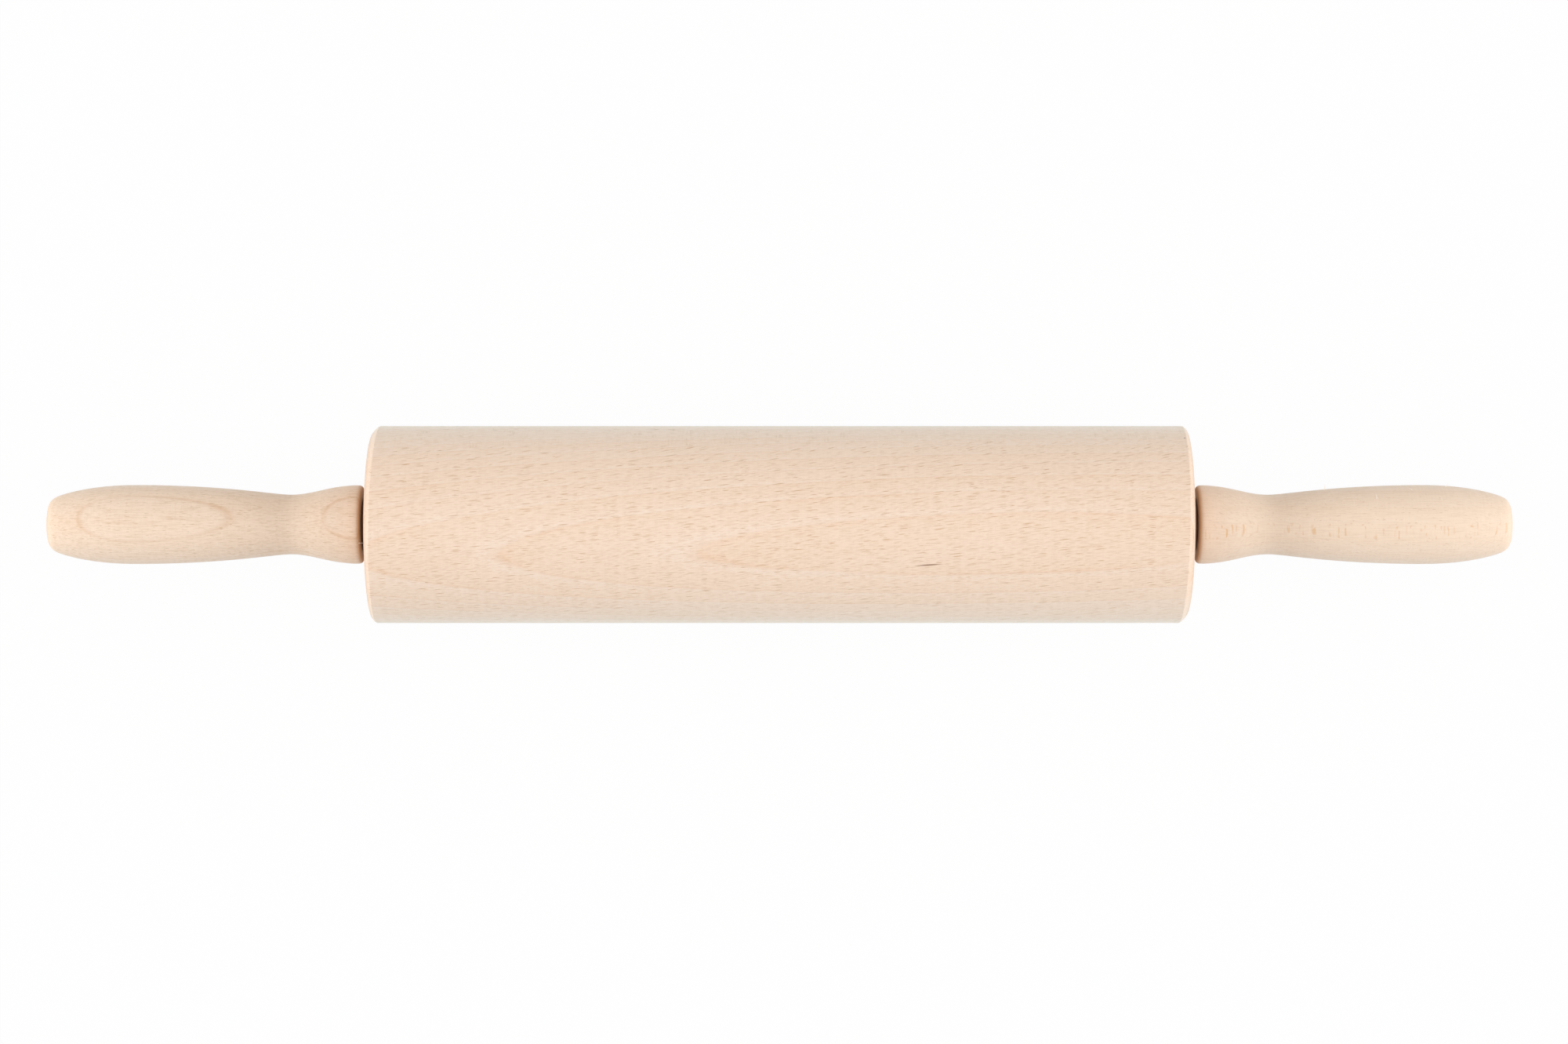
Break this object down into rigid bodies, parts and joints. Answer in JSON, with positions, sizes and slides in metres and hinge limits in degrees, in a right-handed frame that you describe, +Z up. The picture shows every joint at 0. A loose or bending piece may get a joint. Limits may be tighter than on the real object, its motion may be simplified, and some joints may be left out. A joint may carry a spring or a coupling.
{
  "type": "rolling pin",
  "caption": "Beech rolling pin whose cylindrical barrel spins on a steel axle between turned, waisted handles, for rolling out dough and pastry.",
  "frame": {"origin": "middle of the barrel, on the axis of the axle", "axes": "+X along the axle towards the right handle, +Z up, away from the table that the barrel lies on"},
  "size_m": [0.444, 0.06, 0.06],
  "materials": {
    "barrel_beech": "turned and sanded bare beech",
    "handle_beech": "turned and sanded bare beech",
    "bright_steel": "bright drawn",
    "nylon": "moulded, natural colour",
    "hard_fibre": "punched vulcanised fibre, brown"
  },
  "bodies": {
    "handle_set": {"axle_rod": "bright_steel", "left_handle": "handle_beech", "right_handle": "handle_beech", "left_thrust_washer": "hard_fibre", "right_thrust_washer": "hard_fibre"},
    "roller": {"barrel": "barrel_beech", "left_bearing_bush": "nylon", "right_bearing_bush": "nylon"}
  },
  "joints": [
    {"name": "barrel_spin", "type": "hinge", "parent": "handle_set", "child": "roller", "pos_m": [0, 0, 0], "axis": [1, 0, 0], "continuous": true}
  ]
}
